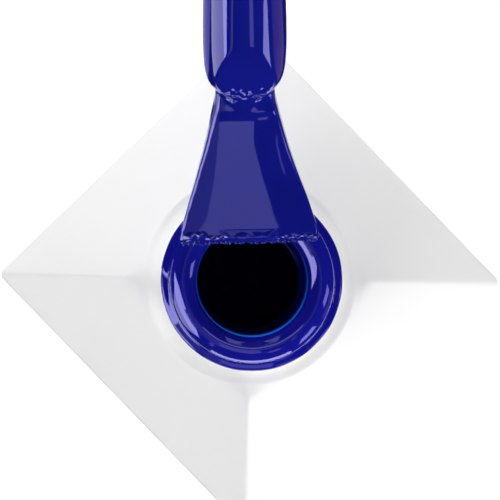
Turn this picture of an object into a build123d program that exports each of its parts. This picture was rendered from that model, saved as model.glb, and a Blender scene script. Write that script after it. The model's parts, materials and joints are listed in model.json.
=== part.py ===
"""Square-bodied nail lacquer bottle, open, with its brush wiped on the lip.

Frame: millimetres, +Z up, origin at the centre of the bottle's foot, flat sides facing +-X and +-Y.
The brush lies over one corner of the bottle. Its tip rests on the lip and its stem climbs away to the cap.
"""

import os
from math import cos, radians, sin

from build123d import *

# Bottle body
BODY_SIDE = 27.1
BODY_CORNER_R = 0.55
FOOT_EDGE_R = 0.5
SHOULDER_Z = 33.0
SHOULDER_EDGE_R = 0.35
COLLAR_Z = 37.2
COLLAR_R = 7.95
WALL = 2.6
FLOOR_Z = 4.5
INNER_CORNER_R = 3.0
INNER_FLOOR_R = 1.2
CHAMBER_TOP_Z = 32.0
BORE_FOOT_Z = 36.0
FOOT_RECESS_R = 9.0
FOOT_RECESS_DEPTH = 0.6
# How far neighbouring blocks of one piece reach into each other before they are joined
OVERLAP = 0.15

# Neck, a 13 mm tall-thread finish
LIP_Z = 48.5
BORE_R = 4.1
NECK_R = 5.8
NECK_FILLET_R = 1.8
LIP_EDGE = 0.85
LIP_TOP_INSET = 0.6
BEAD_R = 6.5
BEAD_Z = 40.6
BEAD_HEIGHT = 1.2
THREAD_R = 6.5
THREAD_PITCH = 2.12
THREAD_TURNS = 2.0
THREAD_TOP_Z = 47.2
THREAD_FOOT_WIDTH = 1.5
THREAD_CREST_WIDTH = 0.7
THREAD_START_ANGLE = 135.0
THREAD_SINK = 0.25

# Lacquer
FILM = 0.2
FILM_FOOT_Z = 41.4
FILL_LEVEL_Z = 26.5
FILL_GAP = 0.02
LEG_Z = 39.0

# Mixing balls
BALL_R = 2.2
BALL_PLACES = ((-5.2, 3.4), (4.6, -5.4))
BALL_GAP = 0.05

# Foot label
LABEL_R = 8.4
LABEL_THICKNESS = 0.12

# Brush: a bent tuft on the lip, then a straight stem
BRUSH_AZIMUTH = 47.5
TIP_REACH = 2.85
TIP_CLEARANCE = 0.08
TIP_SLOPE = 6.0
STEM_SLOPE = 34.0
TUFT_LENGTH = 12.3
KNUCKLE_SETBACK = 1.0
KNUCKLE_GAP = 0.06
# Half width and half thickness of the bare tuft, from its tip (share 0) to its root (share 1)
TUFT_SECTIONS = ((0.0, 4.45, 0.34), (0.3, 3.4, 0.5), (0.65, 2.15, 0.72), (1.0, 1.7, 0.9))
# The same for the lacquer round it
COAT_SECTIONS = ((0.015, 4.9, 0.52), (0.3, 4.1, 0.95), (0.6, 2.97, 1.2), (0.88, 2.2, 1.3), (1.0, 2.12, 1.3))
COAT_KNUCKLE_GAP = 0.1

# Stem, measured from the stem's lower end towards the cap
STEM_R = 2.1
STEM_TOP_R = 2.35
STEM_END_R = 0.4
STEM_LENGTH = 30.0
FLANGE_R = 5.2
FLANGE_THICKNESS = 1.2
PLUG_R = 2.9
PLUG_LENGTH = 3.4
SOCKET_WIDTH = 3.5
SOCKET_HEIGHT = 1.9
SOCKET_DEPTH = 4.6
ROOT_GAP = 0.05
ANCHOR_DEPTH = 3.3
ANCHOR_SIZE = (3.7, 0.4, 0.9)
GASKET_R = 5.35
GASKET_THICKNESS = 0.8
# Station along the stem and radius of the lacquer on it
STEM_COAT = ((-0.7, 2.15), (0.0, 2.5), (0.7, 2.73), (2.5, 2.9), (7.0, 2.86), (12.5, 2.62), (14.5, 2.36))

# Inner cap, a threaded closure with grip ribs
CAP_R = 7.25
CAP_SKIRT = 10.4
CAP_TOP = 1.6
CAP_BORE_R = 6.8
CAP_THREAD_R = 6.1
CAP_THREAD_TURNS = 1.6
CAP_THREAD_START = 2.4
CAP_HUB_R = 4.1
CAP_HUB_HEIGHT = 2.6
RIB_COUNT = 24
RIB_R = 7.45
RIB_WIDTH = 0.8
RIB_END_SETBACK = 1.0

# Overcap, a push-on tapered sleeve
OVERCAP_LENGTH = 34.0
OVERCAP_OVERHANG = 0.4
OVERCAP_FOOT_R = 8.35
OVERCAP_TOP_R = 7.3
OVERCAP_BORE_R = 7.55
OVERCAP_BORE_TOP_R = 6.1
OVERCAP_SEAT_DEPTH = 14.6
OVERCAP_ROOF = 1.6
OVERCAP_TOP_EDGE_R = 1.3
OVERCAP_FOOT_EDGE_R = 0.3

AXIAL = Vector(cos(radians(BRUSH_AZIMUTH)), sin(radians(BRUSH_AZIMUTH)), 0)
LEFT = Vector(0, 0, 1).cross(AXIAL)
BEND_R = TUFT_LENGTH / radians(STEM_SLOPE - TIP_SLOPE)
TIP_Z = LIP_Z + FILM + TIP_CLEARANCE + COAT_SECTIONS[0][2] / cos(radians(TIP_SLOPE))


def brush_direction(slope):
    """Unit vector from the brush's tip towards its cap at a slope above the horizontal."""
    return AXIAL * cos(radians(slope)) + Vector(0, 0, sin(radians(slope)))


def tuft_plane(share):
    """Plane square to the bent tuft, on its middle line: x runs across the brush and y to its upper side."""
    slope = TIP_SLOPE + (STEM_SLOPE - TIP_SLOPE) * share
    out = TIP_REACH + BEND_R * (sin(radians(slope)) - sin(radians(TIP_SLOPE)))
    up = TIP_Z + BEND_R * (cos(radians(TIP_SLOPE)) - cos(radians(slope)))
    return Plane(origin=AXIAL * out + Vector(0, 0, up), x_dir=LEFT, z_dir=brush_direction(slope))


STEM_PLANE = tuft_plane(1.0)
HINGE = STEM_PLANE.from_local_coords((0, 0, -KNUCKLE_SETBACK))


def helix_ridge(radius, depth, foot_width, crest_width, turns, top_z, start_angle):
    """Screw thread ridge that climbs to top_z. A positive depth points outwards, a negative one inwards."""
    height = turns * THREAD_PITCH
    path = Helix(pitch=THREAD_PITCH, height=height, radius=radius)
    section_plane = Plane(origin=path @ 0, x_dir=(1, 0, 0), z_dir=path % 0)
    sink = THREAD_SINK if depth > 0 else -THREAD_SINK
    section = section_plane * make_face(
        Polyline(
            (-sink, -foot_width / 2),
            (depth, -crest_width / 2),
            (depth, crest_width / 2),
            (-sink, foot_width / 2),
            close=True,
        )
    )
    ridge = sweep(section, path=path, is_frenet=True)
    return Location((0, 0, top_z - height), (0, 0, start_angle)) * ridge


def bottle_outside():
    """Square body, flat-faced shoulder that turns from square to round, and a plain neck."""
    foot = RectangleRounded(BODY_SIDE, BODY_SIDE, BODY_CORNER_R)
    body = extrude(foot, SHOULDER_Z)
    body += shoulder_loft(BODY_SIDE, BODY_CORNER_R, SHOULDER_Z, COLLAR_R, COLLAR_Z)
    body = fillet(body.faces().sort_by(Axis.Z)[0].edges(), FOOT_EDGE_R)
    shoulder_edges = body.edges().filter_by_position(Axis.Z, SHOULDER_Z, SHOULDER_Z)
    body = fillet(shoulder_edges, SHOULDER_EDGE_R)
    return body + revolve(neck_profile(), Axis.Z)


def shoulder_loft(side, corner_r, low_z, top_r, high_z):
    """Four flat faces that narrow towards a circle, with cone-shaped ridges between them."""
    low = Pos(0, 0, low_z) * RectangleRounded(side, side, corner_r)
    high = Pos(0, 0, high_z) * RectangleRounded(2 * top_r, 2 * top_r, top_r - OVERLAP / 2)
    return loft([low, high], ruled=True)


def neck_profile():
    """Half section of the solid neck, with a hollow fillet at its foot and a transfer bead."""
    fillet_top = COLLAR_Z + NECK_FILLET_R
    bead_low, bead_high = BEAD_Z - BEAD_HEIGHT / 2, BEAD_Z + BEAD_HEIGHT / 2
    core_r, core_foot = COLLAR_R - OVERLAP, COLLAR_Z - 1
    lip_top_r = NECK_R - LIP_TOP_INSET
    outline = [
        Line((0, core_foot), (core_r, core_foot)),
        Line((core_r, core_foot), (core_r, COLLAR_Z)),
        Line((core_r, COLLAR_Z), (NECK_R + NECK_FILLET_R, COLLAR_Z)),
        RadiusArc((NECK_R + NECK_FILLET_R, COLLAR_Z), (NECK_R, fillet_top), NECK_FILLET_R),
        Line((NECK_R, fillet_top), (NECK_R, bead_low)),
        ThreePointArc((NECK_R, bead_low), (BEAD_R, BEAD_Z), (NECK_R, bead_high)),
        Line((NECK_R, bead_high), (NECK_R, LIP_Z - LIP_EDGE)),
        RadiusArc((NECK_R, LIP_Z - LIP_EDGE), (lip_top_r, LIP_Z), -LIP_EDGE),
        Line((lip_top_r, LIP_Z), (0, LIP_Z)),
        Line((0, LIP_Z), (0, core_foot)),
    ]
    return Plane.XZ * make_face(outline)


def bottle_inside():
    """The hollow: a square chamber with round corners, a domed shoulder and the bore with its flared mouth."""
    side = BODY_SIDE - 2 * WALL
    outline = Pos(0, 0, FLOOR_Z) * RectangleRounded(side, side, INNER_CORNER_R)
    chamber = extrude(outline, CHAMBER_TOP_Z - FLOOR_Z)
    chamber = fillet(chamber.faces().sort_by(Axis.Z)[0].edges(), INNER_FLOOR_R)
    shoulder = shoulder_loft(side, INNER_CORNER_R, CHAMBER_TOP_Z, BORE_R, BORE_FOOT_Z)
    bore = Pos(0, 0, BORE_FOOT_Z - OVERLAP) * extrude(Circle(BORE_R), LIP_Z - BORE_FOOT_Z + 2 * OVERLAP)
    mouth = Pos(0, 0, LIP_Z - LIP_EDGE) * extrude(Circle(BORE_R), LIP_EDGE, taper=-45)
    return chamber + shoulder + bore + mouth


def make_bottle():
    recess = extrude(Circle(FOOT_RECESS_R), FOOT_RECESS_DEPTH)
    thread = helix_ridge(
        NECK_R,
        THREAD_R - NECK_R,
        THREAD_FOOT_WIDTH,
        THREAD_CREST_WIDTH,
        THREAD_TURNS,
        THREAD_TOP_Z,
        THREAD_START_ANGLE,
    )
    return bottle_outside() + thread - bottle_inside() - recess


def make_neck_lacquer(bottle):
    """Wet film over the bore, the lip and the thread."""
    outer = Pos(0, 0, FILM_FOOT_Z) * extrude(Circle(NECK_R + FILM), LIP_Z + FILM - FILM_FOOT_Z)
    outer = fillet(outer.edges().sort_by(Axis.Z)[-1], LIP_EDGE)
    leg = Pos(0, 0, LEG_Z) * extrude(Circle(BORE_R), FILM_FOOT_Z - LEG_Z)
    thread = helix_ridge(
        NECK_R,
        THREAD_R - NECK_R + 0.8 * FILM,
        THREAD_FOOT_WIDTH + 2 * FILM,
        THREAD_CREST_WIDTH + FILM,
        THREAD_TURNS,
        THREAD_TOP_Z,
        THREAD_START_ANGLE,
    )
    passage = Pos(0, 0, LEG_Z) * extrude(Circle(BORE_R - FILM), LIP_Z + 1 - LEG_Z)
    flare = Pos(0, 0, LIP_Z + FILM - LIP_EDGE) * extrude(Circle(BORE_R - FILM), LIP_EDGE, taper=-45)
    return outer + leg + thread - passage - flare - bottle


def make_lacquer_fill():
    """The liquid left in the bottle, with room round each ball."""
    side = BODY_SIDE - 2 * WALL - 2 * FILL_GAP
    floor_z = FLOOR_Z + FILL_GAP
    block = Pos(0, 0, floor_z) * RectangleRounded(side, side, INNER_CORNER_R)
    liquid = extrude(block, FILL_LEVEL_Z - floor_z)
    liquid = fillet(liquid.faces().sort_by(Axis.Z)[0].edges(), INNER_FLOOR_R)
    for x, y in BALL_PLACES:
        liquid -= Pos(x, y, FLOOR_Z + BALL_R) * Sphere(BALL_R + BALL_GAP)
    return liquid


def make_ball(place):
    return Pos(place[0], place[1], FLOOR_Z + BALL_R + FILL_GAP) * Sphere(BALL_R)


def make_label():
    return Pos(0, 0, FOOT_RECESS_DEPTH - LABEL_THICKNESS) * extrude(Circle(LABEL_R), LABEL_THICKNESS)


def bent_loft(sections):
    """Solid through flat oval sections that follow the bent tuft."""
    faces = [tuft_plane(share) * Ellipse(width, height) for share, width, height in sections]
    return loft(faces)


def knuckle(radius, half_width):
    """Round root that lies across the brush on the hinge line."""
    plane = Plane(origin=HINGE, x_dir=brush_direction(STEM_SLOPE), z_dir=LEFT)
    return plane * Cylinder(radius, 2 * half_width)


def behind_hinge():
    """Block that covers everything on the cap's side of the hinge."""
    size = 12.0
    plane = Plane(origin=HINGE, x_dir=LEFT, z_dir=brush_direction(STEM_SLOPE))
    return plane * Pos(0, 0, size / 2) * Box(size, size, size)


def make_tuft():
    root_radius = KNUCKLE_SETBACK - KNUCKLE_GAP
    half_width = TUFT_SECTIONS[-1][1] - OVERLAP
    return bent_loft(TUFT_SECTIONS) - behind_hinge() + knuckle(root_radius, half_width)


def make_tuft_lacquer(tuft):
    return bent_loft(COAT_SECTIONS) - behind_hinge() - tuft


def make_stem():
    rod = Cone(STEM_R, STEM_TOP_R, STEM_LENGTH, align=(Align.CENTER, Align.CENTER, Align.MIN))
    rod = fillet(rod.edges().sort_by(Axis.Z)[0], STEM_END_R)
    flange = Pos(0, 0, STEM_LENGTH) * extrude(Circle(FLANGE_R), FLANGE_THICKNESS)
    plug = Pos(0, 0, STEM_LENGTH + FLANGE_THICKNESS) * extrude(Circle(PLUG_R), PLUG_LENGTH)
    socket = extrude(SlotOverall(SOCKET_WIDTH, SOCKET_HEIGHT), SOCKET_DEPTH)
    anchor_slot = Pos(0, 0, ANCHOR_DEPTH) * Box(*ANCHOR_SIZE)
    return STEM_PLANE * (rod + flange + plug - socket - anchor_slot)


def make_anchor():
    return STEM_PLANE * Pos(0, 0, ANCHOR_DEPTH) * Box(*ANCHOR_SIZE)


def make_root(anchor):
    """Folded end of the bristles inside the stem's socket."""
    fold = SlotOverall(SOCKET_WIDTH - 2 * ROOT_GAP, SOCKET_HEIGHT - 2 * ROOT_GAP)
    return STEM_PLANE * extrude(fold, SOCKET_DEPTH - 2 * OVERLAP) - anchor


def make_stem_lacquer(stem):
    """Lacquer that runs down the stem and gathers at its lower end."""
    low, high = STEM_COAT[0][0], STEM_COAT[-1][0]
    outline = [
        Line((0, low), (STEM_COAT[0][1], low)),
        Spline([(radius, station) for station, radius in STEM_COAT]),
        Line((STEM_COAT[-1][1], high), (0, high)),
        Line((0, high), (0, low)),
    ]
    coat = STEM_PLANE * revolve(Plane.XZ * make_face(outline), Axis.Z)
    room = knuckle(COAT_SECTIONS[-1][2] + COAT_KNUCKLE_GAP, 4.0)
    socket = STEM_PLANE * extrude(Circle(ANCHOR_SIZE[0] / 2 + ROOT_GAP), SOCKET_DEPTH + ROOT_GAP)
    return coat - stem - room - socket


def make_gasket():
    ring = Circle(GASKET_R) - Circle(STEM_TOP_R + 0.05)
    return STEM_PLANE * Pos(0, 0, STEM_LENGTH - GASKET_THICKNESS) * extrude(ring, GASKET_THICKNESS)


def make_inner_cap():
    foot = STEM_LENGTH + FLANGE_THICKNESS - CAP_SKIRT
    shell = extrude(Circle(CAP_R), CAP_SKIRT + CAP_TOP)
    rib = Pos((CAP_R + RIB_R - 0.2) / 2, 0, 0) * Rectangle(RIB_R - CAP_R + 0.2, RIB_WIDTH)
    rib = Pos(0, 0, RIB_END_SETBACK) * extrude(rib, CAP_SKIRT + CAP_TOP - 2 * RIB_END_SETBACK)
    for number in range(RIB_COUNT):
        shell += Rot(0, 0, 360 * number / RIB_COUNT) * rib
    hub = Pos(0, 0, CAP_SKIRT + CAP_TOP) * extrude(Circle(CAP_HUB_R), CAP_HUB_HEIGHT)
    bore = extrude(Circle(CAP_BORE_R), CAP_SKIRT)
    plug_hole = Pos(0, 0, CAP_SKIRT) * extrude(Circle(PLUG_R), PLUG_LENGTH)
    thread = helix_ridge(
        CAP_BORE_R,
        CAP_THREAD_R - CAP_BORE_R,
        THREAD_FOOT_WIDTH,
        THREAD_CREST_WIDTH,
        CAP_THREAD_TURNS,
        CAP_THREAD_START + CAP_THREAD_TURNS * THREAD_PITCH,
        0,
    )
    return STEM_PLANE * Pos(0, 0, foot) * (shell + hub - bore - plug_hole + thread)


def make_overcap():
    foot = STEM_LENGTH + FLANGE_THICKNESS - CAP_SKIRT - OVERCAP_OVERHANG
    outside = Cone(OVERCAP_FOOT_R, OVERCAP_TOP_R, OVERCAP_LENGTH, align=(Align.CENTER, Align.CENTER, Align.MIN))
    outside = fillet(outside.edges().sort_by(Axis.Z)[-1], OVERCAP_TOP_EDGE_R)
    outside = fillet(outside.edges().sort_by(Axis.Z)[0], OVERCAP_FOOT_EDGE_R)
    seat = extrude(Circle(OVERCAP_BORE_R), OVERCAP_SEAT_DEPTH)
    hollow_length = OVERCAP_LENGTH - OVERCAP_ROOF - OVERCAP_SEAT_DEPTH
    hollow = Pos(0, 0, OVERCAP_SEAT_DEPTH) * extrude(Circle(OVERCAP_BORE_TOP_R), hollow_length)
    return STEM_PLANE * Pos(0, 0, foot) * (outside - seat - hollow)


def report_frame():
    """Prints the joint places and directions that the record repeats."""
    stem_direction = brush_direction(STEM_SLOPE)
    print("hinge", [round(v, 4) for v in HINGE])
    print("stem direction", [round(v, 6) for v in stem_direction])
    print("across", [round(-v, 6) for v in LEFT])
    print("stem end", [round(v, 4) for v in STEM_PLANE.origin])


def main():
    os.makedirs("parts", exist_ok=True)
    bottle = make_bottle()
    stem = make_stem()
    anchor = make_anchor()
    tuft = make_tuft()
    nodes = {
        "glass_bottle": bottle,
        "neck_lacquer": make_neck_lacquer(bottle),
        "lacquer_fill": make_lacquer_fill(),
        "base_label": make_label(),
        "brush_stem": stem,
        "bristle_anchor": anchor,
        "bristle_root": make_root(anchor),
        "bristle_tuft": tuft,
        "tuft_lacquer": make_tuft_lacquer(tuft),
        "stem_lacquer": make_stem_lacquer(stem),
        "stem_gasket": make_gasket(),
        "inner_cap": make_inner_cap(),
        "overcap": make_overcap(),
    }
    for number, place in enumerate(BALL_PLACES, start=1):
        nodes[f"mixing_ball_{number}"] = make_ball(place)
    for name, shape in nodes.items():
        export_step(shape, f"parts/{name}.step")
    report_frame()


main()
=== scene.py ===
"""Looks of the open nail lacquer bottle: coated glass, wet lacquer, loaded brush and cap.

Lengths are millimetres unless a name ends in _m. Meshes are turned into metres as they are made.
"""

import json
import math
import random

import bpy
from mathutils import Matrix, Vector, noise


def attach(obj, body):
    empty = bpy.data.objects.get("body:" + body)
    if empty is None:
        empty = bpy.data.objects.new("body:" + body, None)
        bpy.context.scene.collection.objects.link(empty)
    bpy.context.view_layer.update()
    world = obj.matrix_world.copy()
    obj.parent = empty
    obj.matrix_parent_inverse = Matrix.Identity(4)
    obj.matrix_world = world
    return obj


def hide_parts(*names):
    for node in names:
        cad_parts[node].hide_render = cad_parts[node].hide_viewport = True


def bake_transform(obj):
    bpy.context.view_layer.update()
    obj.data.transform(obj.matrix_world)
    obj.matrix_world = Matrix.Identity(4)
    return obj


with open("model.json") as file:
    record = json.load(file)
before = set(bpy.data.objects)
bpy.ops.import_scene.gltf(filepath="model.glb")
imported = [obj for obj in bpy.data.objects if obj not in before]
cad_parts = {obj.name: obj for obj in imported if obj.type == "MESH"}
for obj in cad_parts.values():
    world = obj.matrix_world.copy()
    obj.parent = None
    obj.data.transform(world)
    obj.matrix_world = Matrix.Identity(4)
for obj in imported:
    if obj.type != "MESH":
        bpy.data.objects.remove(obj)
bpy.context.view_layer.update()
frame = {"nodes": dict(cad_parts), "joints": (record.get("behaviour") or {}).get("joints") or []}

MM = 0.001
TURN = 2 * math.pi
SEED = 13415

# Bottle, as in the CAD but a little slimmer in the body and with crisper ridges
BODY_HALF = 13.44
BODY_CORNER_R = 0.55
FOOT_EDGE_R = 0.5
SHOULDER_Z = 33.0
SHOULDER_EDGE_R = 0.5
SHOULDER_RISE = 0.75
COLLAR_R = 7.95
# The shoulder's ridges are soft at the collar and crisp from RIDGE_FADE outwards
RIDGE_FADE = 1.6
RIDGE_SOFT = 6
RIDGE_CRISP = 90
NECK_R = 5.8
NECK_FILLET_R = 1.6
BEAD_R = 6.5
BEAD_Z = 40.6
BEAD_HALF_HEIGHT = 0.6
LIP_Z = 48.5
BORE_R = 4.1
MOUTH_R = 4.95
INNER_HALF = 10.95
INNER_CORNER_R = 3.0
FLOOR_Z = 4.5
INNER_TOP_Z = 36.0
INNER_SHOULDER_DROP = 4.0
FLOOR_EDGE_R = 1.2
RECESS_R = 9.0
RECESS_DEPTH = 0.6
RECESS_EDGE_R = 0.3
MOUTH_DEPTH = 0.85
AXIS_R = 0.5

# Lacquer on the neck
FILM_R = 6.0
FILM_FOOT_Z = 41.6
FILM_SHOULDER_Z = 47.55
THREAD_RISE = 0.66
THREAD_PITCH = 2.12
THREAD_TURNS = 2.0
THREAD_TOP_Z = 46.65
THREAD_START = math.radians(135)
THREAD_HALF_WIDTH = 0.62
THREAD_RUN_IN = 0.12
THREAD_RUN_OUT = 0.5
# Radius, and tilt of the surface from level in degrees: falling outwards when positive
LIP_TILTS = (
    (4.0, -86), (4.08, -75), (4.2, -58), (4.38, -43), (4.82, -26), (4.93, -14), (4.98, 0),
    (5.08, 12), (5.25, 28), (5.74, 47), (5.87, 57), (5.98, 75), (6.03, 86),
)
BORE_FILM_R = 3.99
BORE_RIM_R = 4.1
LIP_CREST_R = 4.98
LIP_CREST_Z = 48.7
LIP_STEP = 0.005
LIP_SPACING = 0.045
BORE_FILM_FOOT_Z = 38.9
BORE_FILM_SWELL = 0.45
# Radius and height of the film's back, inside the glass
BACK_OF_FILM = ((4.6, BORE_FILM_FOOT_Z), (5.2, 40.0), (5.4, 41.2))
FOOT_EDGE_HEIGHT = 0.35
FOOT_EDGE_TUCK = 0.24
GROOVE_Z = 46.0
GROOVE_WIDTH = 0.5

# Brush, worked out from the joints
joints = {joint["name"]: joint for joint in frame["joints"]}
STEM_DIRECTION = Vector(joints["brush_draw"]["axis"]).normalized()
HINGE = Vector(joints["bristle_flex"]["pos_m"]) / MM
STEM_SLOPE = math.asin(STEM_DIRECTION.z)
AXIAL = Vector((STEM_DIRECTION.x, STEM_DIRECTION.y, 0)).normalized()
LEFT = Vector((0, 0, 1)).cross(AXIAL)
TUFT_LENGTH = 12.3
TIP_SLOPE = math.radians(6)
KNUCKLE_SETBACK = 1.0
BEND_R = TUFT_LENGTH / (STEM_SLOPE - TIP_SLOPE)
STEM_END = HINGE + STEM_DIRECTION * KNUCKLE_SETBACK


def mesh_object(name, points, faces, material):
    """New object from points in millimetres."""
    mesh = bpy.data.meshes.new(name)
    mesh.from_pydata([tuple(c * MM for c in p) for p in points], [], faces)
    mesh.validate()
    mesh.polygons.foreach_set("use_smooth", [True] * len(mesh.polygons))
    mesh.materials.append(material)
    piece = bpy.data.objects.new(name, mesh)
    bpy.context.scene.collection.objects.link(piece)
    return piece


def tube_faces(rows, columns, start=0, closed_rows=False, backwards=False):
    """Quads of a grid whose columns wrap round, and whose rows do too if closed_rows is true."""
    faces = []
    for row in range(rows if closed_rows else rows - 1):
        low, high = start + row * columns, start + (row + 1) % rows * columns
        for column in range(columns):
            after = (column + 1) % columns
            quad = (low + column, low + after, high + after, high + column)
            faces.append((quad[0], *quad[:0:-1]) if backwards else quad)
    return faces


def sheet_faces(rows, columns):
    """Quads between the points of an open grid, row by row."""
    faces = []
    for row in range(rows - 1):
        for column in range(columns - 1):
            low = row * columns + column
            faces.append((low, low + 1, low + columns + 1, low + columns))
    return faces


def capped_tube(rings):
    """Points and faces of a tube through rings of equal length, closed at both ends by fans."""
    columns = len(rings[0])
    points = [p for ring in rings for p in ring]
    faces = tube_faces(len(rings), columns)
    for ring, base in ((rings[0], 0), (rings[-1], (len(rings) - 1) * columns)):
        centre = len(points)
        points.append(sum((Vector(p) for p in ring), Vector()) / columns)
        for column in range(columns):
            here, after = base + column, base + (column + 1) % columns
            faces.append((here, after, centre) if base else (after, here, centre))
    return points, faces


def smooth_curve(knots, x):
    """Value at x of a smooth curve through (x, y) knots, without overshoot."""
    xs = [k[0] for k in knots]
    ys = [k[1] for k in knots]
    if x <= xs[0]:
        return ys[0]
    if x >= xs[-1]:
        return ys[-1]
    i = max(j for j in range(len(xs) - 1) if xs[j] <= x)
    steps = [(ys[j + 1] - ys[j]) / (xs[j + 1] - xs[j]) for j in range(len(xs) - 1)]

    def slope(j):
        if j == 0 or j == len(xs) - 1:
            return steps[min(j, len(steps) - 1)]
        before, after = steps[j - 1], steps[j]
        return 0.0 if before * after <= 0 else 2 * before * after / (before + after)

    width = xs[i + 1] - xs[i]
    t = (x - xs[i]) / width
    return (
        (2 * t**3 - 3 * t**2 + 1) * ys[i]
        + (t**3 - 2 * t**2 + t) * width * slope(i)
        + (3 * t**2 - 2 * t**3) * ys[i + 1]
        + (t**3 - t**2) * width * slope(i + 1)
    )


def arc_profile(centre, radius, start, end, steps):
    """Points (radius, height) of an arc in the half plane, angles in degrees."""
    angles = [math.radians(start + (end - start) * i / steps) for i in range(steps + 1)]
    return [(centre[0] + radius * math.cos(a), centre[1] + radius * math.sin(a)) for a in angles]


def wobble(x, y, z, scale, seed=0.0):
    """Smooth noise between about -1 and 1, the same at each run."""
    return noise.noise(Vector((x / scale + seed, y / scale - seed, z / scale + 2 * seed)))


# Materials


class Shader:
    """Short way to build a node material."""

    def __init__(self, name):
        self.material = bpy.data.materials.new(name)
        self.material.use_nodes = True
        self.nodes = self.material.node_tree.nodes
        self.links = self.material.node_tree.links
        self.body = self.nodes["Principled BSDF"]

    def add(self, kind, **values):
        node = self.nodes.new(kind)
        for key, value in values.items():
            if hasattr(node, key) and key not in node.inputs:
                setattr(node, key, value)
            else:
                node.inputs[key].default_value = value
        return node

    def set(self, **values):
        for key, value in values.items():
            self.body.inputs[key.replace("_", " ")].default_value = value

    def join(self, out, into):
        self.links.new(out, into)

    def object_place(self):
        return self.add("ShaderNodeTexCoord").outputs["Object"]

    def noise(self, scale, detail=2.0, roughness=0.5):
        node = self.add("ShaderNodeTexNoise", Scale=scale, Detail=detail, Roughness=roughness)
        self.join(self.object_place(), node.inputs["Vector"])
        return node

    def ramp(self, source, stops):
        node = self.add("ShaderNodeValToRGB")
        elements = node.color_ramp.elements
        while len(elements) < len(stops):
            elements.new(0.5)
        for element, (position, colour) in zip(elements, stops):
            element.position = position
            element.color = (*colour, 1.0)
        self.join(source, node.inputs["Fac"])
        return node.outputs["Color"]

    def range(self, source, low, high, to_low, to_high):
        node = self.add("ShaderNodeMapRange")
        for key, value in (("From Min", low), ("From Max", high), ("To Min", to_low), ("To Max", to_high)):
            node.inputs[key].default_value = value
        self.join(source, node.inputs["Value"])
        return node.outputs["Result"]

    def bump(self, *layers):
        """Bump from (height output, distance in millimetres) layers, one over the other."""
        before = None
        for height, distance in layers:
            node = self.add("ShaderNodeBump", Strength=1.0, Distance=distance * MM)
            self.join(height, node.inputs["Height"])
            if before is not None:
                self.join(before, node.inputs["Normal"])
            before = node.outputs["Normal"]
        self.join(before, self.body.inputs["Normal"])


def white_glass():
    s = Shader("white_glass")
    s.set(IOR=1.5, Specular_IOR_Level=0.2)
    tint = s.noise(90, 3)
    shades = s.ramp(tint.outputs["Fac"], [(0.3, (0.885, 0.885, 0.885)), (0.7, (0.905, 0.905, 0.905))])
    s.join(shades, s.body.inputs["Base Color"])
    peel = s.noise(420, 2)
    wave = s.noise(60, 1)
    s.join(s.range(peel.outputs["Fac"], 0.3, 0.7, 0.32, 0.4), s.body.inputs["Roughness"])
    s.bump((wave.outputs["Fac"], 0.05), (peel.outputs["Fac"], 0.006))
    return s.material


# Colours of the bore's rim: a lighter blue, partly the thinner film's own colour and partly a painted
# highlight, and an emission that paints a glow of light coming through the glass
THIN_FILM_PAINTED_GLOW = (0.01, 0.16, 0.95)
PAINTED_GLOW_EMISSION = (0.006, 0.07, 0.36)


def lacquer(name, colour, ripple):
    """Wet blue lacquer; where the mesh's rim attribute is high it is painted a lighter blue and glows: partly
    the colour of a thinner film, partly a painted glow of light on the bore's rim.
    """
    s = Shader(name)
    s.set(Roughness=0.04, IOR=1.5, Specular_IOR_Level=1.0, Specular_Tint=(0.44, 0.42, 1.0, 1))
    depth = s.noise(300, 2)
    deep = s.ramp(depth.outputs["Fac"], [(0.35, tuple(0.9 * c for c in colour)), (0.65, colour)])
    thin_film_painted_glow = s.add("ShaderNodeAttribute", attribute_name="thin_film_painted_glow")
    mix = s.add("ShaderNodeMix", data_type="RGBA")
    s.join(thin_film_painted_glow.outputs["Fac"], mix.inputs["Factor"])
    s.join(deep, mix.inputs[6])
    mix.inputs[7].default_value = (*THIN_FILM_PAINTED_GLOW, 1)
    s.join(mix.outputs[2], s.body.inputs["Base Color"])
    # Painted light: the emission makes the rim glow as if it were lit through the glass
    through = s.add("ShaderNodeMath", operation="MULTIPLY")
    s.join(thin_film_painted_glow.outputs["Fac"], through.inputs[0])
    s.join(thin_film_painted_glow.outputs["Fac"], through.inputs[1])
    s.set(Emission_Color=(*PAINTED_GLOW_EMISSION, 1))
    s.join(through.outputs["Value"], s.body.inputs["Emission Strength"])
    flow = s.noise(160, 2)
    s.bump((flow.outputs["Fac"], ripple))
    return s.material


def moulded(name, colour, roughness, grain, grain_scale=900.0):
    s = Shader(name)
    s.set(IOR=1.49)
    spark = s.noise(grain_scale, 3)
    cloud = s.noise(70, 2)
    shades = s.ramp(cloud.outputs["Fac"], [(0.3, tuple(c * 0.93 for c in colour)), (0.7, colour)])
    s.join(shades, s.body.inputs["Base Color"])
    sheen = s.range(cloud.outputs["Fac"], 0.3, 0.7, roughness * 0.85, roughness * 1.15)
    s.join(sheen, s.body.inputs["Roughness"])
    s.bump((spark.outputs["Fac"], grain))
    return s.material


def steel():
    s = Shader("steel")
    s.set(Base_Color=(0.62, 0.61, 0.6, 1), Metallic=1.0)
    scratch = s.noise(1500, 4, 0.7)
    s.join(s.range(scratch.outputs["Fac"], 0.3, 0.7, 0.12, 0.3), s.body.inputs["Roughness"])
    s.bump((scratch.outputs["Fac"], 0.002))
    return s.material


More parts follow.
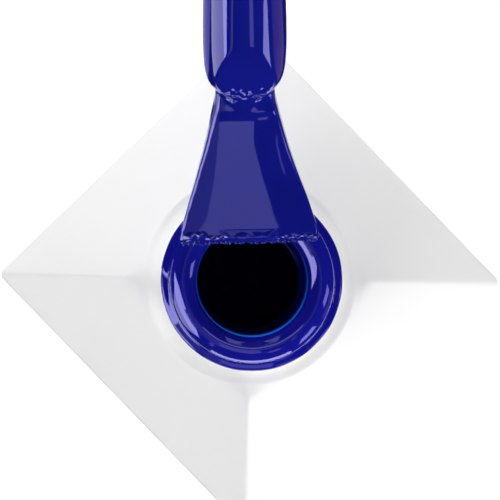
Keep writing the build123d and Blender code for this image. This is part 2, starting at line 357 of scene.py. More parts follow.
GLASS = white_glass()
LACQUER = lacquer("lacquer", (0.006, 0.0085, 0.228), 0.01)
FILM_LACQUER = lacquer("lacquer_film", (0.008, 0.008, 0.285), 0.015)
BLACK_PLASTIC = moulded("black_plastic", (0.018, 0.018, 0.02), 0.38, 0.008)
WHITE_PLASTIC = moulded("white_plastic", (0.86, 0.86, 0.85), 0.32, 0.006)
GASKET = moulded("gasket", (0.74, 0.74, 0.7), 0.6, 0.02, 1800)
LABEL = moulded("label", (0.82, 0.82, 0.8), 0.55, 0.004, 2500)
BRISTLE = moulded("bristle", (0.12, 0.1, 0.16), 0.3, 0.002)
STEEL = steel()


# Bottle


def ring_angles():
    """Angles of the columns round the bottle, close together where its corners turn."""
    steps = [0.15 * i for i in range(1, 10)] + [1.7, 2.2, 3, 4, 5.5, 7.5] + [10 + 2.5 * i for i in range(14)]
    offsets = [-step for step in reversed(steps)] + [0.0] + steps + [45.0]
    return [math.radians(45 + 90 * quarter + offset) for quarter in range(4) for offset in offsets]


ANGLES = ring_angles()


def square_reach(half, corner_r, angle):
    """Distance from the axis to a square with round corners, which is a circle if corner_r equals half."""
    turn = angle % (TURN / 4)
    corner_r = min(corner_r, half)
    flat = half - corner_r
    long_way, short_way = max(math.cos(turn), math.sin(turn)), min(math.cos(turn), math.sin(turn))
    if half * short_way <= flat * long_way:
        return half / long_way
    diagonal = flat * math.sqrt(2)
    off = turn - TURN / 8
    return diagonal * math.cos(off) + math.sqrt(corner_r**2 - (diagonal * math.sin(off)) ** 2)


def around(place):
    """Ring of points round the bottle's axis; place gives (reach, height) at an angle."""
    ring = []
    for angle in ANGLES:
        reach, height = place(angle)
        ring.append(Vector((reach * math.cos(angle), reach * math.sin(angle), height)))
    return ring


def level(half, corner_r, z):
    """Flat ring: a square with round corners."""
    return around(lambda angle: (square_reach(half, corner_r, angle), z))


def shoulder_height(reach, angle):
    """Height of the four-sided shoulder; its edges soften close to the neck ring."""
    away = min(1.0, max(0.0, (reach - COLLAR_R) / RIDGE_FADE))
    power = RIDGE_SOFT + (RIDGE_CRISP - RIDGE_SOFT) * away**2
    spread = (abs(math.cos(angle)) ** power + abs(math.sin(angle)) ** power) ** (1 / power)
    return SHOULDER_Z + SHOULDER_RISE * (BODY_HALF - reach * spread)


def shoulder_ring(half, share):
    """Ring on the shoulder that goes from square, at share 0, to the neck ring's circle at share 1."""
    round_share = share**3

    def place(angle):
        square = square_reach(half, 0.3 + 0.7 * share, angle)
        reach = square + (COLLAR_R - square) * round_share
        return reach, shoulder_height(reach, angle)

    return around(place)


def neck_ring(reach, rise):
    """Ring on the neck's hollow foot; rise goes from 0 at the collar to 1 under the bead."""

    def place(angle):
        foot = shoulder_height(COLLAR_R, angle)
        return reach, foot + (BEAD_Z - BEAD_HALF_HEIGHT - foot) * rise

    return around(place)


def bottle_rings():
    """Rings under the foot, up the outside, over the lip and down the inside."""
    recess_flat, recess_rim = RECESS_R - RECESS_EDGE_R, RECESS_R + RECESS_EDGE_R
    recess_edge = arc_profile((recess_flat, RECESS_DEPTH - RECESS_EDGE_R), RECESS_EDGE_R, 90, 0, 5)
    recess_edge += arc_profile((recess_rim, RECESS_EDGE_R), RECESS_EDGE_R, 180, 270, 5)
    rings = [level(AXIS_R, AXIS_R, RECESS_DEPTH), level(recess_flat, recess_flat, RECESS_DEPTH)]
    rings += [level(r, r, z) for r, z in recess_edge]
    flat = BODY_HALF - FOOT_EDGE_R
    for step in range(1, 5):
        share = step / 5
        half = recess_rim + (flat - recess_rim) * share
        rings.append(level(half, half * (1 - share) + 0.1 * share, 0.0))
    for r, z in arc_profile((flat, FOOT_EDGE_R), FOOT_EDGE_R, -90, 0, 8):
        rings.append(level(r, BODY_CORNER_R - (BODY_HALF - r), z))
    rings += [level(BODY_HALF, BODY_CORNER_R, z) for z in (8.0, 16.0, 24.0, 30.0)]
    slope = math.atan(SHOULDER_RISE)
    drop = SHOULDER_EDGE_R * math.tan((math.pi / 2 - slope) / 2)
    edge_centre = (BODY_HALF - SHOULDER_EDGE_R, SHOULDER_Z - drop)
    edge = arc_profile(edge_centre, SHOULDER_EDGE_R, 0, 90 - math.degrees(slope), 8)
    rings += [level(r, BODY_CORNER_R - (BODY_HALF - r), z) for r, z in edge]
    start = edge[-1][0]
    steps = 24
    for step in range(1, steps + 1):
        share = step / steps
        rings.append(shoulder_ring(start + (COLLAR_R - start) * share, share))
    for r, z in arc_profile((NECK_R + NECK_FILLET_R, NECK_FILLET_R), NECK_FILLET_R, 285, 180, 12):
        rings.append(neck_ring(r, z / NECK_FILLET_R))
    rings += [level(r, r, z) for r, z in neck_outline()]
    rings.append(level(MOUTH_R, MOUTH_R, LIP_Z))
    rings += [level(BORE_R, BORE_R, z) for z in (LIP_Z - MOUTH_DEPTH, 44.0, INNER_TOP_Z + 0.1)]
    for step in range(1, 8):
        share = step / 7
        half = BORE_R + (INNER_HALF - BORE_R) * share
        corner = BORE_R + (INNER_CORNER_R - BORE_R) * share
        rings.append(level(half, corner, INNER_TOP_Z - INNER_SHOULDER_DROP * share))
    rings += [level(INNER_HALF, INNER_CORNER_R, z) for z in (24.0, 14.0)]
    floor_edge = arc_profile((INNER_HALF - FLOOR_EDGE_R, FLOOR_Z + FLOOR_EDGE_R), FLOOR_EDGE_R, 0, -90, 5)
    rings += [level(r, INNER_CORNER_R - (INNER_HALF - r), z) for r, z in floor_edge]
    return rings + [level(BORE_R, BORE_R, FLOOR_Z), level(AXIS_R, AXIS_R, FLOOR_Z)]


def neck_outline():
    """(radius, height) of the neck's outside, from its bead to the lip."""
    bead = []
    for step in range(13):
        turn = math.pi * (step / 12 - 0.5)
        bead.append((NECK_R + (BEAD_R - NECK_R) * math.cos(turn), BEAD_Z + BEAD_HALF_HEIGHT * math.sin(turn)))
    lip = arc_profile((NECK_R - 0.6, LIP_Z - 0.6), 0.6, 0, 90, 6)
    return bead + [(NECK_R, 42.5), (NECK_R, 46.0)] + lip


def make_bottle():
    points, faces = capped_tube(bottle_rings())
    piece = mesh_object("bottle_body", points, faces, GLASS)
    weighted = piece.modifiers.new("flat_faces", "WEIGHTED_NORMAL")
    weighted.keep_sharp = True
    weighted.weight = 80
    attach(piece, "bottle")
    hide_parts("glass_bottle")


# Lacquer film


def thread_rise(angle, z):
    """Height of the thread's ridge over the neck at an angle and a height."""
    rise = 0.0
    for turn in range(math.ceil(THREAD_TURNS)):
        back = (THREAD_START - angle) % TURN + turn * TURN
        ridge_z = THREAD_TOP_Z - THREAD_PITCH * back / TURN
        left = max(0.0, THREAD_TURNS * TURN - back)
        fade = min(1.0, back / THREAD_RUN_IN) * min(1.0, left / THREAD_RUN_OUT)
        across = abs(z - ridge_z) / THREAD_HALF_WIDTH
        if across < 1.6:
            shape = 1 / (1 + math.exp((across - 0.85) * 9))
            rise = max(rise, shape * math.sqrt(fade))
    return rise * THREAD_RISE


def lip_side(end, step):
    """(radius, height) from the lip's crest to an end radius, by adding up the tilts."""
    side = [(LIP_CREST_R, LIP_CREST_Z)]
    radius, height = side[0]
    while abs(radius - end) > abs(step):
        radius += step
        height -= abs(step) * math.tan(math.radians(abs(smooth_curve(LIP_TILTS, radius))))
        if math.dist((radius, height), side[-1]) > LIP_SPACING:
            side.append((radius, height))
    return side


def lip_outline():
    """(radius, height) over the lip, from its outer edge to the bore's rim."""
    outer = lip_side(LIP_TILTS[-1][0], LIP_STEP)
    inner = lip_side(LIP_TILTS[0][0], -LIP_STEP)
    return outer[::-1] + inner[1:]


def film_profile():
    """(radius, height, kind) up the outside, over the lip and down the bore; the kind sets the noise."""
    rows = []
    steps = 86
    for step in range(steps + 1):
        rows.append((FILM_R, FILM_FOOT_Z + (FILM_SHOULDER_Z - FILM_FOOT_Z) * step / steps, "neck"))
    lip = lip_outline()
    for radius, height in lip:
        if height > FILM_SHOULDER_Z or radius < LIP_CREST_R:
            rows.append((radius, height, "edge" if radius < BORE_RIM_R else "lip"))
    rim_z = lip[-1][1]
    for step in range(1, 16):
        share = step / 15
        height = rim_z - (rim_z - BORE_FILM_FOOT_Z) * share
        rows.append((BORE_FILM_R - BORE_FILM_SWELL * share**2, height, "bore"))
    return rows


def painted_bore_glow(x, y):
    """Strength of the painted glow and lighter colour on the bore's rim: strongest on the side away from the
    brush and weaker on the brush's left side.
    """
    away = -(x * AXIAL.x + y * AXIAL.y)
    side = x * LEFT.x + y * LEFT.y
    return min(1.0, max(0.2, 0.45 + 0.5 * away)) * (1 - 0.3 * max(0.0, side))


def groove_grain(x, y, r, z):
    """Dried crumbs in the corner above the thread."""
    if r < FILM_R + 0.02 or r > FILM_R + GROOVE_WIDTH or z < GROOVE_Z:
        return 0.0
    return 0.05 * wobble(x * 6, y * 6, z, 0.16, 5.0)


def film_place(kind, angle, radius, height):
    """(radius, height) of the film at an angle, with its thread, its uneven foot and its waves."""
    x, y = math.cos(angle), math.sin(angle)
    r, z = radius, height
    if kind == "neck":
        foot = 0.45 * wobble(x * 6, y * 6, 0, 2.2, 3.1) + 0.25 * wobble(x * 6, y * 6, 0, 0.8, 7.7)
        share = (z - FILM_FOOT_Z) / (FILM_SHOULDER_Z - FILM_FOOT_Z)
        z += foot * (1 - share) ** 2
        r += thread_rise(angle, z)
        r += 0.03 * wobble(x * 6, y * 6, z, 1.6, 1.3) + groove_grain(x, y, r, z)
        edge = (height - FILM_FOOT_Z) / FOOT_EDGE_HEIGHT
        if edge < 1:
            r -= FOOT_EDGE_TUCK * (1 - math.sqrt(max(0.0, 1 - (1 - edge) ** 2)))
    elif kind == "lip":
        z += 0.02 * wobble(x * 5, y * 5, z, 1.6, 2.0)
        r += 0.02 * wobble(x * 5, y * 5, z, 1.2, 4.0)
    else:
        r += 0.03 * wobble(x * 4, y * 4, z, 1.5, 6.0)
    return r, z


def painted_glow_fade(kind, below_rim):
    """How far the painted rim glow and lighter colour have faded: 0 on the bore's rim, where the film is
    thinnest, and 1 away from it.
    """
    if kind == "edge":
        return 0.0
    return 0.55 + below_rim / 7 if kind == "bore" else 1.0


def circle(radius, height, columns):
    """Ring of points round the bottle's axis."""
    turns = [TURN * column / columns for column in range(columns)]
    return [Vector((radius * math.cos(turn), radius * math.sin(turn), height)) for turn in turns]


def make_film():
    columns = 400
    profile = film_profile()
    bore_top = next(height for _, height, kind in profile if kind == "bore")
    rings, thin_film_painted_glow = [], []
    for radius, height, kind in profile:
        ring = []
        for column in range(columns):
            angle = TURN * column / columns
            r, z = film_place(kind, angle, radius, height)
            x, y = math.cos(angle), math.sin(angle)
            # Painted glow and lighter colour of the bore's rim, kept per point for the lacquer's shader
            thin_film_painted_glow.append(painted_bore_glow(x, y) * max(0.0, 1 - painted_glow_fade(kind, bore_top - z)))
            ring.append(Vector((r * x, r * y, z)))
        rings.append(ring)
    for radius, height in BACK_OF_FILM:
        rings.append(circle(radius, height, columns))
    points = [p for ring in rings for p in ring]
    faces = tube_faces(len(rings), columns, closed_rows=True)
    piece = mesh_object("neck_film", points, faces, FILM_LACQUER)
    painted_glow_layer = piece.data.attributes.new("thin_film_painted_glow", "FLOAT", "POINT")
    painted_glow_layer.data.foreach_set("value", thin_film_painted_glow + [0.0] * (len(points) - len(thin_film_painted_glow)))
    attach(piece, "bottle")
    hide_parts("neck_lacquer")


# Brush


def brush_point(station):
    """Middle of the brush at a distance from its tip, and the slope there."""
    if station >= TUFT_LENGTH:
        return STEM_END + STEM_DIRECTION * (station - TUFT_LENGTH), STEM_SLOPE
    slope = TIP_SLOPE + (STEM_SLOPE - TIP_SLOPE) * station / TUFT_LENGTH
    back = BEND_R * (math.sin(STEM_SLOPE) - math.sin(slope))
    down = BEND_R * (math.cos(slope) - math.cos(STEM_SLOPE))
    return STEM_END - AXIAL * back - Vector((0, 0, down)), slope


def brush_place(station, across, up):
    """Point at a distance from the tip, to the brush's left and above its middle line."""
    middle, slope = brush_point(station)
    normal = -AXIAL * math.sin(slope) + Vector((0, 0, math.cos(slope)))
    return middle + LEFT * across + normal * up


# Knots of the brush's outline: distance from the tip, then size
TUFT_HALF_WIDTH = (
    (0.0, 4.95), (0.25, 5.03), (2.5, 4.5), (4.9, 3.73), (7.4, 2.99), (9.9, 2.41), (10.5, 2.28), (11.0, 2.19),
    (11.5, 2.15), (12.0, 2.12), (13.0, 2.0), (15.0, 1.5),
)
TUFT_TOP = (
    (0.0, 0.15), (0.1, 0.38), (0.25, 0.55), (0.5, 0.68), (0.9, 0.78), (2.5, 0.95), (4.9, 1.1), (7.4, 1.18),
    (9.3, 1.2), (9.9, 1.22), (10.6, 1.33), (11.6, 1.3), (12.3, 1.3), (15.0, 0.9),
)
TUFT_BOTTOM = (
    (0.0, 0.3), (0.25, 0.5), (2.5, 0.7), (4.9, 0.95), (7.4, 1.15), (9.9, 1.3), (12.0, 1.4), (15.0, 1.0),
)
SIDE_ROUNDING = ((0.0, 0.3), (6.0, 0.4), (12.0, 0.5))
CROWN_SPREAD = ((0.0, 1.2), (6.0, 1.25), (10.0, 1.4))
STEM_COAT_R = (
    (10.2, 0.9), (10.55, 1.24), (11.0, 1.34), (11.4, 1.53), (11.8, 1.81), (12.1, 2.05), (12.5, 2.4),
    (13.0, 2.7), (13.5, 2.84), (14.2, 2.93), (16.0, 2.99), (20.0, 2.93), (24.5, 2.7), (26.6, 2.45),
)
FACET_HEIGHT = (
    (10.5, 1.15), (12.0, 1.56), (13.0, 1.86), (14.0, 2.16), (15.0, 2.47), (16.0, 2.76), (17.0, 3.0),
    (19.0, 3.6),
)
BRUSH_DRIFT = ((0.0, 0.12), (3.0, 0.11), (6.0, 0.17), (12.0, 0.2), (16.0, 0.14), (26.0, 0.05))
COAT_END = 26.6
FACET_HALF_WIDTH = 6.0
FACET_EDGE = 0.12
CREASE = 0.3
CREASE_GRAIN = 0.05
CREASE_GRAIN_END = 12.8
TIP_LEAN = 0.3
TIP_LEAN_END = 8.0
TIP_GRAIN = 0.06
TIP_GRAIN_END = 0.85
TIP_BEAD = 0.26
TIP_BEAD_END = 1.05
TIP_BEAD_RAMP = 0.6
TIP_BEAD_HALF_WIDTH = 1.6
TIP_BEAD_FLARE = 0.3
TIP_BEAD_CRISPNESS = 9


def oval_reach(width, height, turn):
    """Distance from the middle of an ellipse to its edge."""
    return ((math.cos(turn) / width) ** 2 + (math.sin(turn) / height) ** 2) ** -0.5


def soft_least(a, b, softness):
    """The smaller of two lengths, blended where they are about equal."""
    gap = max(0.0, softness - abs(a - b)) / softness
    return min(a, b) - gap**2 * softness / 4


def brush_ring(station, columns):
    """Ring of the wet brush: the flat tuft joined to the round stem end, which is worn to a facet on top."""
    width = smooth_curve(TUFT_HALF_WIDTH, station)
    top, bottom = smooth_curve(TUFT_TOP, station), smooth_curve(TUFT_BOTTOM, station)
    rounding, spread = smooth_curve(SIDE_ROUNDING, station), smooth_curve(CROWN_SPREAD, station)
    stem = smooth_curve(STEM_COAT_R, station) if station > STEM_COAT_R[0][0] else 0.0
    facet = smooth_curve(FACET_HEIGHT, station)
    drift = smooth_curve(BRUSH_DRIFT, station)
    lean = TIP_LEAN * max(0.0, 1 - station / TIP_LEAN_END)
    grain = TIP_GRAIN * min(1.0, max(0.0, 2 * (1 - station / TIP_GRAIN_END)))
    bead = TIP_BEAD * min(1.0, max(0.0, (TIP_BEAD_END - station) / TIP_BEAD_RAMP))
    ring = []
    for column in range(columns):
        turn = TURN * column / columns
        upper = math.sin(turn) > 0
        crown = oval_reach(width * spread, top if upper else bottom, turn)
        tuft = soft_least(crown, width / max(abs(math.cos(turn)), 0.01), rounding)
        round_end = stem
        if upper and stem:
            round_end = soft_least(stem, oval_reach(FACET_HALF_WIDTH, facet, turn), FACET_EDGE)
        if stem and station < CREASE_GRAIN_END:
            round_end += CREASE_GRAIN * wobble(round_end * math.cos(turn), station, 0, 0.3, 4.5)
        reach = -soft_least(-tuft, -round_end, CREASE)
        across, up = reach * math.cos(turn), reach * math.sin(turn)
        up *= 1 - lean * across / width
        up += grain * wobble(across, station, 0, 0.5, 2.5)
        if upper:
            past_side = abs(across) - TIP_BEAD_HALF_WIDTH - TIP_BEAD_FLARE * station
            up += bead / (1 + math.exp(past_side * TIP_BEAD_CRISPNESS))
        ring.append(brush_place(station, across + drift, up))
    return ring


# Place across, place along, half sizes and height of the larger drops
TIP_DROPS = (
    (4.2, 0.45, 0.62, 0.5, 0.4), (3.5, 0.6, 0.55, 0.42, 0.36), (2.75, 0.3, 0.5, 0.36, 0.33),
    (2.1, 0.34, 0.45, 0.34, 0.3), (1.5, 0.2, 0.34, 0.28, 0.24), (-1.9, 0.22, 0.36, 0.28, 0.25),
    (-2.7, 0.3, 0.45, 0.32, 0.3), (-3.4, 0.25, 0.34, 0.28, 0.24), (-4.15, 0.35, 0.5, 0.36, 0.34),
)
DROP_BLUNTNESS = 0.04
DROP_SINK = 0.03
LUMPS = 78
LUMP_REACH = 4.8


def tuft_top(across, station):
    """Height of the tuft's upper side near the tip."""
    width = smooth_curve(TUFT_HALF_WIDTH, station)
    crown = max(0.0, 1 - (across / (width * CROWN_SPREAD[0][1])) ** 2)
    lean = 1 - TIP_LEAN * (1 - station / TIP_LEAN_END) * across / width
    return smooth_curve(TUFT_TOP, station) * math.sqrt(crown) * lean


def tip_drops(points, faces):
    """Adds drops of lacquer, cones with blunt tops, to the tip's points and faces."""
    sides, rings = 24, 8
    for across, station, half_across, half_along, height in TIP_DROPS:
        base = len(points)
        for ring in range(rings):
            share = 1 - ring / rings
            for side in range(sides):
                turn = TURN * side / sides
                x = across + half_across * share * math.cos(turn)
                along = max(0.02, station + half_along * share * math.sin(turn))
                rise = height * (1 + DROP_BLUNTNESS - math.sqrt(share**2 + DROP_BLUNTNESS)) - DROP_SINK
                points.append(brush_place(along, x + BRUSH_DRIFT[0][1], tuft_top(x, along) + rise))
        faces += tube_faces(rings, sides, base)
        faces.append(tuple(base + (rings - 1) * sides + side for side in range(sides)))


def tip_lumps():
    """Bristle ends at the tip, each rounded over by lacquer."""
    draws = random.Random(SEED + 1)
    points, faces = [], []
    sides = 10
    for lump in range(LUMPS):
        across = BRUSH_DRIFT[0][1] + LUMP_REACH * (2 * (lump + draws.random()) / LUMPS - 1)
        radius = draws.uniform(0.07, 0.17)
        out = draws.uniform(-0.05, 0.2) - radius
        up = draws.uniform(0.0, 0.52) * (1 - (across / 6) ** 2)
        length = draws.uniform(0.25, 0.7)
        rings = []
        for turn in (90, 65, 40, 15, -10):
            rise = math.radians(turn)
            rings.append((-out - radius * math.sin(rise), max(0.15, math.cos(rise)) * radius))
        rings.append((-out + length, 0.5 * radius))
        base = len(points)
        for station, size in rings:
            for side in range(sides):
                turn = TURN * side / sides
                x = across + size * math.cos(turn)
                points.append(brush_place(station, x, up + size * math.sin(turn)))
        faces += tube_faces(len(rings), sides, base)
        faces.append(tuple(base + side for side in reversed(range(sides))))
    tip_drops(points, faces)
    return points, faces


def make_brush_lacquer():
    columns, rows = 200, 240
    rings = []
    for row in range(rows + 1):
        share = row / rows
        closer_at_tip = (share + share**2) / 2
        rings.append(brush_ring(COAT_END * closer_at_tip, columns))
    points, faces = capped_tube(rings)
    lumps, lump_faces = tip_lumps()
    faces += [tuple(index + len(points) for index in face) for face in lump_faces]
    points += lumps
    piece = mesh_object("brush_lacquer", points, faces, LACQUER)
    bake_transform(piece)
    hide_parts("stem_lacquer", "tuft_lacquer")


STRANDS = 170
STRAND_R = 0.055
STRAND_TIP_R = 0.3 * STRAND_R
STRAND_COVER = 0.14
SOCKET_DEPTH = 3.0
SOCKET_HALF_WIDTH = 1.6
SOCKET_HALF_HEIGHT = 0.75


def make_bristles():
    """Nylon filaments, fanned out flat at the tip and gathered in the stem's socket."""
    draws = random.Random(SEED)
    points, faces = [], []
    sides, steps = 6, 14
    for strand in range(STRANDS):
        across = 2 * (strand + draws.random()) / STRANDS - 1
        layer = draws.uniform(-1, 1)
        start = TUFT_LENGTH + SOCKET_DEPTH
        end = draws.uniform(-0.16, 0.2)
        base = len(points)
        for step in range(steps + 1):
            station = start + (end - start) * step / steps
            width = min(smooth_curve(TUFT_HALF_WIDTH, station) - 0.25, 4.62)
            height = min(smooth_curve(TUFT_TOP, station), smooth_curve(TUFT_BOTTOM, station)) - STRAND_COVER
            if station > TUFT_LENGTH - 1:
                width, height = min(width, SOCKET_HALF_WIDTH), min(height, SOCKET_HALF_HEIGHT)
            radius = STRAND_TIP_R if step == steps else STRAND_R
            up = layer * max(height, 0.04) * (1 - 0.75 * across**2)
            for side in range(sides):
                turn = TURN * side / sides
                x = across * width + radius * math.cos(turn)
                points.append(brush_place(station, x, up + radius * math.sin(turn)))
        faces += tube_faces(steps + 1, sides, base, backwards=True)
        faces.append(tuple(base + side for side in range(sides)))
        faces.append(tuple(base + steps * sides + side for side in reversed(range(sides))))
    piece = mesh_object("bristles", points, faces, BRISTLE)
    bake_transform(piece)
    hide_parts("bristle_tuft")


# Cap


def turned(name, outline, material, base_station, columns=128):
    """Body of revolution about the stem, from (radius, station) points that start and end near the axis."""
    to_side = STEM_DIRECTION.cross(LEFT)
    turns = [TURN * column / columns for column in range(columns)]
    spokes = [(LEFT * math.cos(turn), to_side * math.sin(turn)) for turn in turns]
    rings = []
    for radius, station in outline:
        centre = STEM_END + STEM_DIRECTION * (base_station + station)
        rings.append([centre + left * radius + side * radius for left, side in spokes])
    points, faces = capped_tube(rings)
    return mesh_object(name, points, faces, material)


# Distances along the stem from its end in the lacquer
FLANGE = 30.0
PLUG = 31.2
OVERCAP_FOOT = 20.4
OVERCAP_LENGTH = 34.0
OVERCAP_ROOF = 1.6
OVERCAP_TOP_R = 7.32
OVERCAP_EDGE_R = 1.3


def make_stem():
    """Moulded rod, from inside its coat of lacquer up to the flange and plug in the inner cap."""
    outline = [(0.05, 1.8), (1.3, 1.85), (1.7, 2.3), (1.95, 3.4), (2.1, 5.0), (2.2, 14.0), (2.26, 20.0)]
    outline += [(2.3, 24.0), (2.42, 24.1), (2.42, 24.5), (2.31, 24.6), (2.35, FLANGE - 0.2), (2.5, FLANGE)]
    outline += [(5.0, FLANGE), (5.2, FLANGE + 0.2), (5.2, PLUG - 0.05)]
    outline += [(2.9, PLUG), (2.9, PLUG + 3.3), (0.05, PLUG + 3.4)]
    piece = turned("stem_rod", outline, BLACK_PLASTIC, 0.0)
    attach(piece, "applicator")
    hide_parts("brush_stem")


def make_overcap():
    """Sleeve with a slight taper: up its hollow, round its foot, and up the outside to the roof."""
    inside_roof = OVERCAP_LENGTH - OVERCAP_ROOF
    outline = [(0.05, inside_roof), (5.6, inside_roof)]
    outline += arc_profile((5.6, inside_roof - 0.5), 0.5, 90, 0, 4)
    outline += [(6.1, 14.9), (6.2, 14.6), (7.3, 14.6), (7.5, 14.4), (7.55, 0.7), (7.62, 0.2)]
    outline += arc_profile((7.95, 0.3), 0.3, 200, 340, 8)
    outline += [(8.33, 1.0), (8.1, 8.0), (7.85, 16.0), (7.6, 24.0), (7.4, 30.0)]
    edge_centre = (OVERCAP_TOP_R - OVERCAP_EDGE_R, OVERCAP_LENGTH - OVERCAP_EDGE_R)
    outline += arc_profile(edge_centre, OVERCAP_EDGE_R, 2, 88, 10)
    outline += [(3.0, OVERCAP_LENGTH - 0.02), (0.05, OVERCAP_LENGTH)]
    piece = turned("overcap_sleeve", outline[::-1], WHITE_PLASTIC, OVERCAP_FOOT)
    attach(piece, "cap_shell")
    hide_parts("overcap")


def paint_nodes():
    """Gives the CAD pieces that stay in view their materials."""
    looks = {
        "inner_cap": BLACK_PLASTIC,
        "stem_gasket": GASKET,
        "base_label": LABEL,
        "mixing_ball_1": STEEL,
        "mixing_ball_2": STEEL,
        "bristle_anchor": STEEL,
        "bristle_root": BRISTLE,
        "lacquer_fill": LACQUER,
    }
    for node, material in looks.items():
        for place in frame["nodes"][node].material_slots:
            place.material = material


# Studio

VIEW_AZIMUTH = math.radians(46.0)
IMAGE_UP = Vector((math.cos(VIEW_AZIMUTH), math.sin(VIEW_AZIMUTH), 0))
IMAGE_RIGHT = Vector((math.sin(VIEW_AZIMUTH), -math.cos(VIEW_AZIMUTH), 0))
CAMERA_HEIGHT = 380.0
# To the picture's right and towards its top, from the middle of the lip
CAMERA_OFFSET = (-4.27, 4.45)
CAMERA_AIM = (-0.145, 2.25)
VIEW_WIDTH = 36.34
LIGHT_TARGET = Vector((0, 0, 35.0))
CARD_CENTRE = Vector((0, 0, 50.0))
CARD_REACH = 1500.0


def make_camera():
    lip = Vector((0, 0, LIP_Z))
    eye = lip + IMAGE_RIGHT * CAMERA_OFFSET[0] + IMAGE_UP * CAMERA_OFFSET[1] + Vector((0, 0, CAMERA_HEIGHT))
    aim = lip + IMAGE_RIGHT * CAMERA_AIM[0] + IMAGE_UP * CAMERA_AIM[1]
    back = (eye - aim).normalized()
    right = IMAGE_UP.cross(back).normalized()
    up = back.cross(right)
    data = bpy.data.cameras.new("camera")
    data.sensor_width = 36.0
    data.lens = 36.0 * CAMERA_HEIGHT / VIEW_WIDTH
    data.clip_start = 0.01
    camera = bpy.data.objects.new("camera", data)
    camera.matrix_world = Matrix.Translation(eye * MM) @ Matrix((right, up, back)).transposed().to_4x4()
    bpy.context.scene.collection.objects.link(camera)
    bpy.context.scene.camera = camera


def direction(azimuth, elevation):
    """Unit vector: azimuth in degrees counted in the picture from its right towards its top."""
    a, e = math.radians(azimuth), math.radians(elevation)
    flat = IMAGE_RIGHT * math.cos(a) + IMAGE_UP * math.sin(a)
    return flat * math.cos(e) + Vector((0, 0, math.sin(e)))


def soft_light(name, azimuth, elevation, distance, size, power):
    """Area light that only lights matt surfaces; the cards make the reflections."""
    data = bpy.data.lights.new(name, "AREA")
    data.shape = "SQUARE"
    data.size = size * MM
    data.energy = power
    light = bpy.data.objects.new(name, data)
    light.location = (direction(azimuth, elevation) * distance + LIGHT_TARGET) * MM
    light.rotation_euler = (-direction(azimuth, elevation)).to_track_quat("-Z", "Y").to_euler()
    light.visible_glossy = False
    light.visible_camera = False
    bpy.context.scene.collection.objects.link(light)


def card(name, corners, glow, colour=(1.0, 1.0, 1.0)):
    """Panel that shows only in reflections, between four (azimuth, elevation) corners given in turn."""
    steps = 10
    points = []
    for row in range(steps + 1):
        for column in range(steps + 1):
            across, up = column / steps, row / steps
            weights = ((1 - across) * (1 - up), across * (1 - up), across * up, (1 - across) * up)
            azimuth, elevation = (sum(w * corner[i] for w, corner in zip(weights, corners)) for i in range(2))
            points.append(direction(azimuth, elevation) * CARD_REACH + CARD_CENTRE)
    faces = sheet_faces(steps + 1, steps + 1)
    material = bpy.data.materials.new(name)
    material.use_nodes = True
    nodes = material.node_tree.nodes
    nodes.remove(nodes["Principled BSDF"])
    glow_node = nodes.new("ShaderNodeEmission")
    glow_node.inputs["Color"].default_value = (*colour, 1)
    glow_node.inputs["Strength"].default_value = glow
    material.node_tree.links.new(glow_node.outputs[0], nodes["Material Output"].inputs["Surface"])
    panel = mesh_object(name, points, faces, material)
    panel.visible_camera = False
    panel.visible_diffuse = False
    panel.visible_shadow = False
    panel.visible_transmission = False


def make_floor():
    size, steps = 1600.0, 8
    marks = [size * (step / steps - 0.5) for step in range(steps + 1)]
    points = [(x, y, 0) for y in marks for x in marks]
    faces = sheet_faces(steps + 1, steps + 1)
    s = Shader("floor")
    s.set(Roughness=0.9, Specular_IOR_Level=0.0, Base_Color=(0.9, 0.9, 0.9, 1))
    s.set(Emission_Color=(1, 1, 1, 1), Emission_Strength=0.2)
    floor = mesh_object("floor", points, faces, s.material)
    floor.visible_glossy = False


def make_world():
    world = bpy.data.worlds.new("studio")
    bpy.context.scene.world = world
    world.use_nodes = True
    back = world.node_tree.nodes["Background"]
    back.inputs["Color"].default_value = (1, 1, 1, 1)
    back.inputs["Strength"].default_value = 0.004


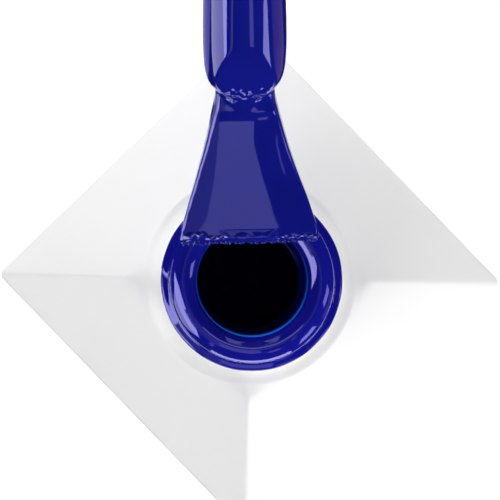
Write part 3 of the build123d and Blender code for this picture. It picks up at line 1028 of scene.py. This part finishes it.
def make_studio():
    soft_light("high_left", 195, 58, 480, 200, 0.24)
    soft_light("front_left", 208, 54, 480, 220, 0.62)
    soft_light("lower_right", 315, 15, 450, 200, 1.6)
    soft_light("upper_left", 135, 15, 450, 200, 0.74)
    soft_light("near_top", 85, 25, 130, 60, 0.064)
    soft_light("near_right", 60, 20, 110, 50, 0.029)
    soft_light("bottom", 270, 35, 450, 200, 0.45)
    card("left_box", ((172, 3), (229, 4), (218, 38), (193, 40)), 6.5)
    card("left_foot", ((198, -28), (211, -28), (229, 4), (186, 3)), 3.0)
    card("left_low", ((166, -84), (197, -84), (197, -28), (166, -28)), 1.0, (0.55, 0.5, 1.0))
    card("thin_strip", ((236, 8), (240, 8), (240, 28), (236, 28)), 0.8)
    card("centre_strip", ((283, 19), (293, 19), (293, 29), (283, 29)), 1.1)
    card("right_box", ((306, -8), (325, -6), (323, 11), (309, 9)), 3.9)
    card("right_edge", ((339, 6), (353, 3), (358, 15), (344, 21)), 3.0)
    card("overhead", ((244, 30), (280, 30), (277, 63), (244, 63)), 1.1)
    card("overhead_tip", ((244, 63), (277, 63), (302, 82), (244, 82)), 1.1)
    card("dim_left", ((205, 24), (244, 24), (244, 80), (205, 80)), 0.35)
    card("front_low", ((240, -45), (300, -45), (300, -15), (240, -15)), 4.0)
    card("bead_light", ((40, 44), (140, 44), (140, 67), (40, 67)), 2.2)
    card("zenith", ((0, 68), (360, 68), (360, 76), (0, 76)), 0.8)
    card("far_right", ((304, 36), (306, 36), (308, 52), (304, 52)), 0.8)
    card("brown_side", ((332, -55), (352, -55), (352, -5), (332, -5)), 0.35, (1.0, 0.6, 0.5))
    card("back_high", ((62, 10), (118, 10), (112, 33), (68, 33)), 1.3)
    card("underside", ((0, -88), (360, -88), (360, -78), (0, -78)), 0.45)
    bpy.context.scene.view_settings.view_transform = "Standard"


make_bottle()
make_film()
make_brush_lacquer()
make_bristles()
make_stem()
make_overcap()
paint_nodes()
make_camera()
make_floor()
make_world()
make_studio()
